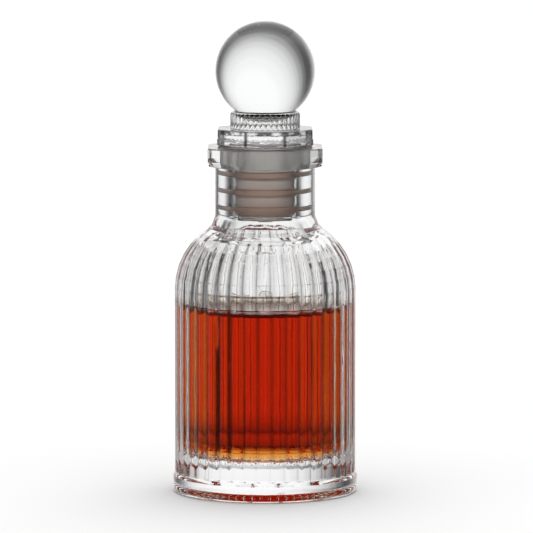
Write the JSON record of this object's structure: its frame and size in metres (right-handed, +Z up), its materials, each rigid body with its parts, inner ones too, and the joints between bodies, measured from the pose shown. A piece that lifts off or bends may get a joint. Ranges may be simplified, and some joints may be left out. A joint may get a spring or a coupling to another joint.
{
  "type": "aftershave bottle",
  "caption": "Fluted cylindrical glass bottle with a domed shoulder and an eight-sided lip, part filled with amber aftershave, closed by a glass ball stopper in a finned plastic sleeve.",
  "frame": {"origin": "centre of the bottle's foot, on the surface it stands on", "axes": "+Z up along the bottle's axis towards the ball, -Y towards the front"},
  "size_m": [0.0558, 0.0558, 0.1426],
  "materials": {
    "bottle_glass": "clear moulded soda-lime glass, fire polished",
    "aftershave": "clear amber liquid",
    "sleeve_plastic": "milky translucent soft plastic",
    "stopper_glass": "clear pressed glass",
    "cement": "clear cured cement",
    "ball_glass": "clear solid glass, polished"
  },
  "bodies": {
    "bottle": {"glass_bottle": "bottle_glass", "aftershave_fill": "aftershave"},
    "sleeve": {"seal_sleeve": "sleeve_plastic"},
    "stopper": {"stopper_head": "stopper_glass", "ball_cement": "cement", "ball_knob": "ball_glass"}
  },
  "joints": [
    {"name": "stopper_lift", "type": "slide", "parent": "bottle", "child": "sleeve", "axis": [0, 0, 1], "range_m": [0, 0.04]},
    {"name": "stopper_twist", "type": "hinge", "parent": "sleeve", "child": "stopper", "pos_m": [0, 0, 0.1048], "axis": [0, 0, 1], "continuous": true}
  ]
}
